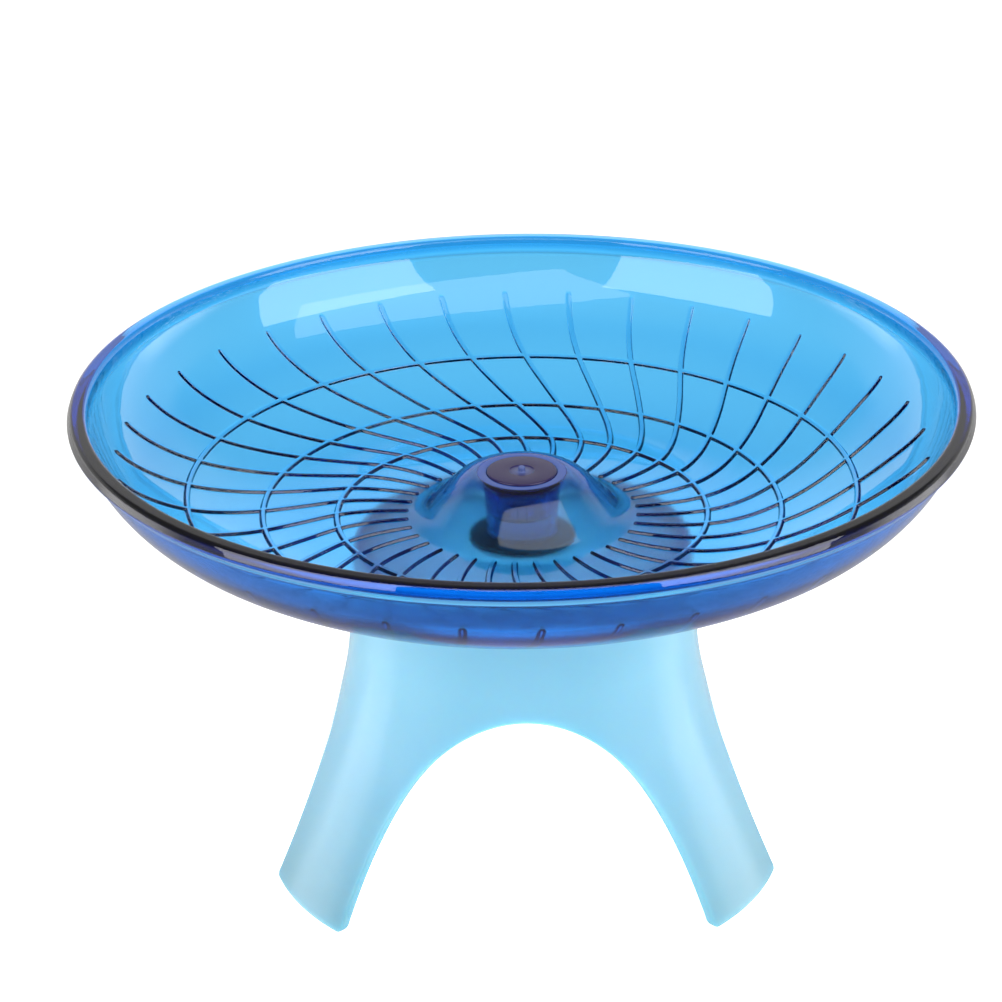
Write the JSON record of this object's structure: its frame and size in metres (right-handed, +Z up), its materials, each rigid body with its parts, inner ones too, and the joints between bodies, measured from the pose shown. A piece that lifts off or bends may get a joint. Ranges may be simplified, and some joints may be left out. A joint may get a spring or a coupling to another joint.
{
  "type": "small animal running disc",
  "caption": "Shallow clear-blue running dish with spiral tread ribs, turning freely on a ball bearing on top of a pale blue three-legged stand.",
  "frame": {"origin": "on the ground plane under the feet, on the dish's turning axis", "axes": "+Z up along the turning axis; an arch of the stand faces -Y, which is the pictured front, and +X is to its right"},
  "size_m": [0.1814, 0.1814, 0.1032],
  "materials": {
    "clear_blue": "clear tinted, polished",
    "smoky_cap": "smoky tinted, polished",
    "pale_blue": "smooth, slightly translucent",
    "bearing_steel": "ground steel",
    "polished_steel": "polished",
    "zinc_steel": "zinc plated",
    "cage_nylon": "natural nylon",
    "dark_spacer": "dark moulded"
  },
  "bodies": {
    "stand": {"stand": "pale_blue", "thrust_spacer": "dark_spacer", "axle_bolt": "zinc_steel", "bolt_washer": "zinc_steel", "lock_nut": "zinc_steel", "bearing_inner_race": "bearing_steel"},
    "dish": {"running_dish": "clear_blue", "hub_cap": "smoky_cap", "bearing_outer_race": "bearing_steel", "bearing_shields": "bearing_steel"},
    "ball_cage": {"bearing_balls": "polished_steel", "bearing_cage": "cage_nylon"}
  },
  "joints": [
    {"name": "dish_spin", "type": "hinge", "parent": "stand", "child": "dish", "pos_m": [0, 0, 0.0744], "axis": [0, 0, 1], "continuous": true},
    {"name": "cage_spin", "type": "hinge", "parent": "stand", "child": "ball_cage", "pos_m": [0, 0, 0.0744], "axis": [0, 0, 1], "continuous": true}
  ],
  "couplings": [
    {"joint": "cage_spin", "follows": "dish_spin", "ratio": 0.63333}
  ]
}
